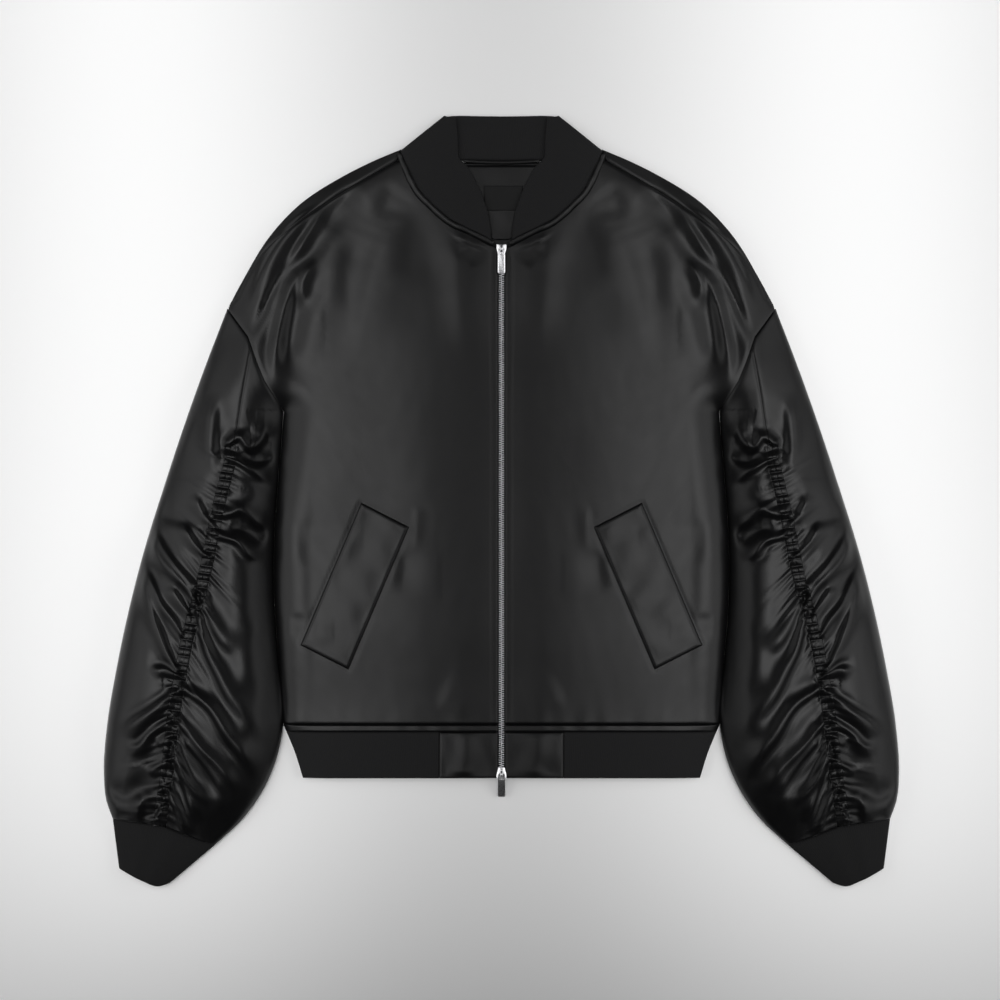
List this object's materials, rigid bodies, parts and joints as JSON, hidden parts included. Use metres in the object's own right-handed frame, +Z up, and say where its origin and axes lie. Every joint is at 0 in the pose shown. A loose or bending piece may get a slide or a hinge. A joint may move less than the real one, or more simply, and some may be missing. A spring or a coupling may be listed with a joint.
{
  "type": "bomber jacket",
  "caption": "Black satin bomber jacket laid flat on its back, zipped shut, with ribbed collar, cuffs and hem, slanted pocket welts and a gathered band down each sleeve.",
  "frame": {"origin": "on the surface that the jacket lies on, under the middle of its outline", "axes": "+Z up from the surface, +Y towards the collar, +X towards the wearer's left"},
  "size_m": [0.813, 0.7869, 0.0395],
  "materials": {
    "satin": "black satin with a soft sheen",
    "rib": "matte black rib knit",
    "zip_tape": "matte black woven tape",
    "zip_metal": "bright silver-coloured metal"
  },
  "bodies": {
    "jacket": {"back_panel": "satin", "front_left": "satin", "front_right": "satin", "sleeve_outer_left": "satin", "sleeve_outer_right": "satin", "sleeve_inner_left": "satin", "sleeve_inner_right": "satin", "ruche_left": "satin", "ruche_right": "satin", "cuff_left": "rib", "cuff_right": "rib", "pocket_welt_left": "satin", "pocket_welt_right": "satin", "collar": "rib", "neck_piping_left": "satin", "neck_piping_right": "satin", "neck_facing": "satin", "label_patch": "zip_tape", "hanger_loop": "satin", "hem_piping": "satin", "hem_rib": "rib", "hem_tab_left": "satin", "hem_tab_right": "satin", "zip_chain": "zip_metal", "zip_tape_left": "zip_tape", "zip_tape_right": "zip_tape", "slider_top": "zip_metal", "slider_bottom": "zip_metal"},
    "pull_top": {"pull_tab_top": "zip_metal"},
    "pull_bottom": {"pull_tab_bottom": "zip_metal"}
  },
  "joints": [
    {"name": "pull_top_hinge", "type": "hinge", "parent": "jacket", "child": "pull_top", "pos_m": [0, 0.2565, 0.01426], "axis": [-1, 0, 0], "range_deg": [0, 165]},
    {"name": "pull_bottom_hinge", "type": "hinge", "parent": "jacket", "child": "pull_bottom", "pos_m": [0, -0.2795, 0.01163], "axis": [-1, 0, 0], "range_deg": [0, 195]}
  ]
}
